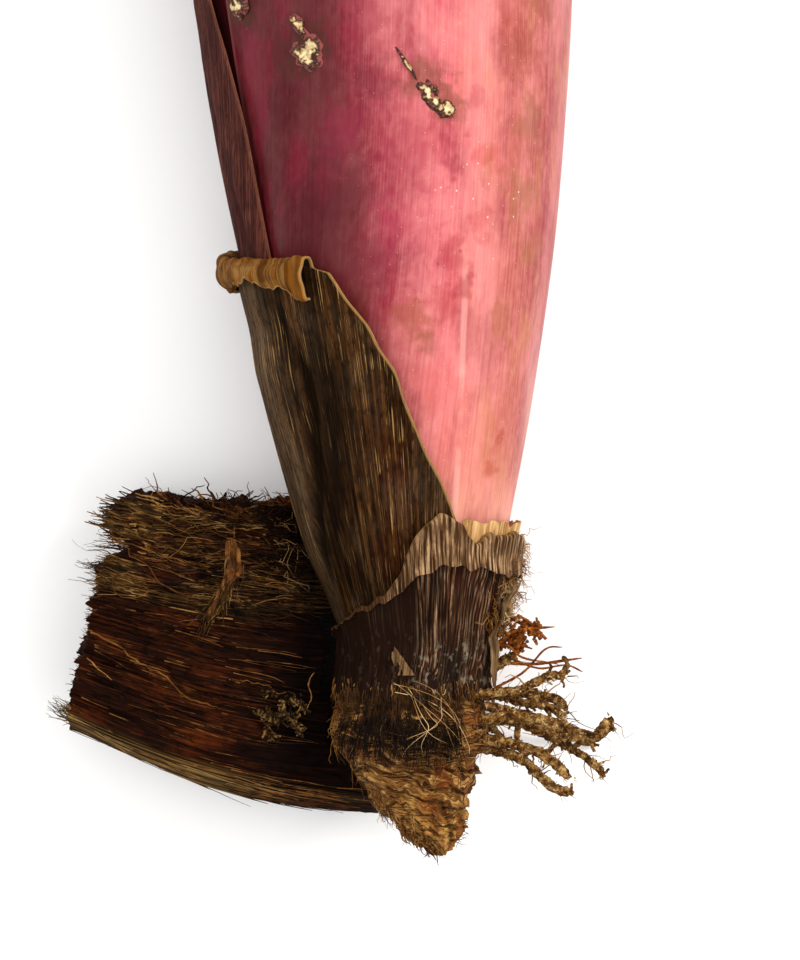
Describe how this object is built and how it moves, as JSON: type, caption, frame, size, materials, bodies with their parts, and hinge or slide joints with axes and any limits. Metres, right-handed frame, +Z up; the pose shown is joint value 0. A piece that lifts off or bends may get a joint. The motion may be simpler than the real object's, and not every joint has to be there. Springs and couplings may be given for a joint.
{
  "type": "bare-root bromeliad with coconut husk chunk",
  "caption": "Tubular pink bromeliad out of its pot, lying on its side, with dry brown sheaths, stubby roots and a block of coconut husk still held by them.",
  "frame": {"origin": "on the surface that the plant lies on, under the middle of its bounding box", "axes": "+Y along the leaf tube from the root end towards the leaf tips, +Z up from the surface it lies on"},
  "size_m": [0.1694, 0.364, 0.1248],
  "materials": {
    "live_leaf": "smooth, slightly glossy, finely striped",
    "dry_leaf": "dry, ribbed, papery",
    "stem": "rough, fibrous",
    "root": "rough, knobbly",
    "husk": "coarse fibres",
    "moss": "soft tufts"
  },
  "bodies": {
    "root": {"stem": "stem", "leaf_1": "live_leaf", "leaf_2": "live_leaf", "leaf_3": "live_leaf", "leaf_4": "live_leaf", "leaf_5": "live_leaf", "leaf_6": "live_leaf", "leaf_7": "live_leaf", "leaf_8": "live_leaf", "dry_outer_leaf": "dry_leaf", "dry_sheath": "dry_leaf", "basal_sheath": "dry_leaf", "papery_rim": "dry_leaf", "side_strip": "dry_leaf", "front_scrap": "dry_leaf", "root_1": "root", "root_2": "root", "root_3": "root", "root_4": "root", "root_5": "root", "root_6": "root", "root_7": "root", "root_8": "root", "root_9": "root", "holdfast_1": "root", "holdfast_2": "root", "holdfast_3": "root", "holdfast_4": "root", "fibre_1": "root", "fibre_2": "root", "fibre_3": "root", "husk": "husk", "husk_splinter": "husk", "moss": "moss"}
  },
  "joints": []
}
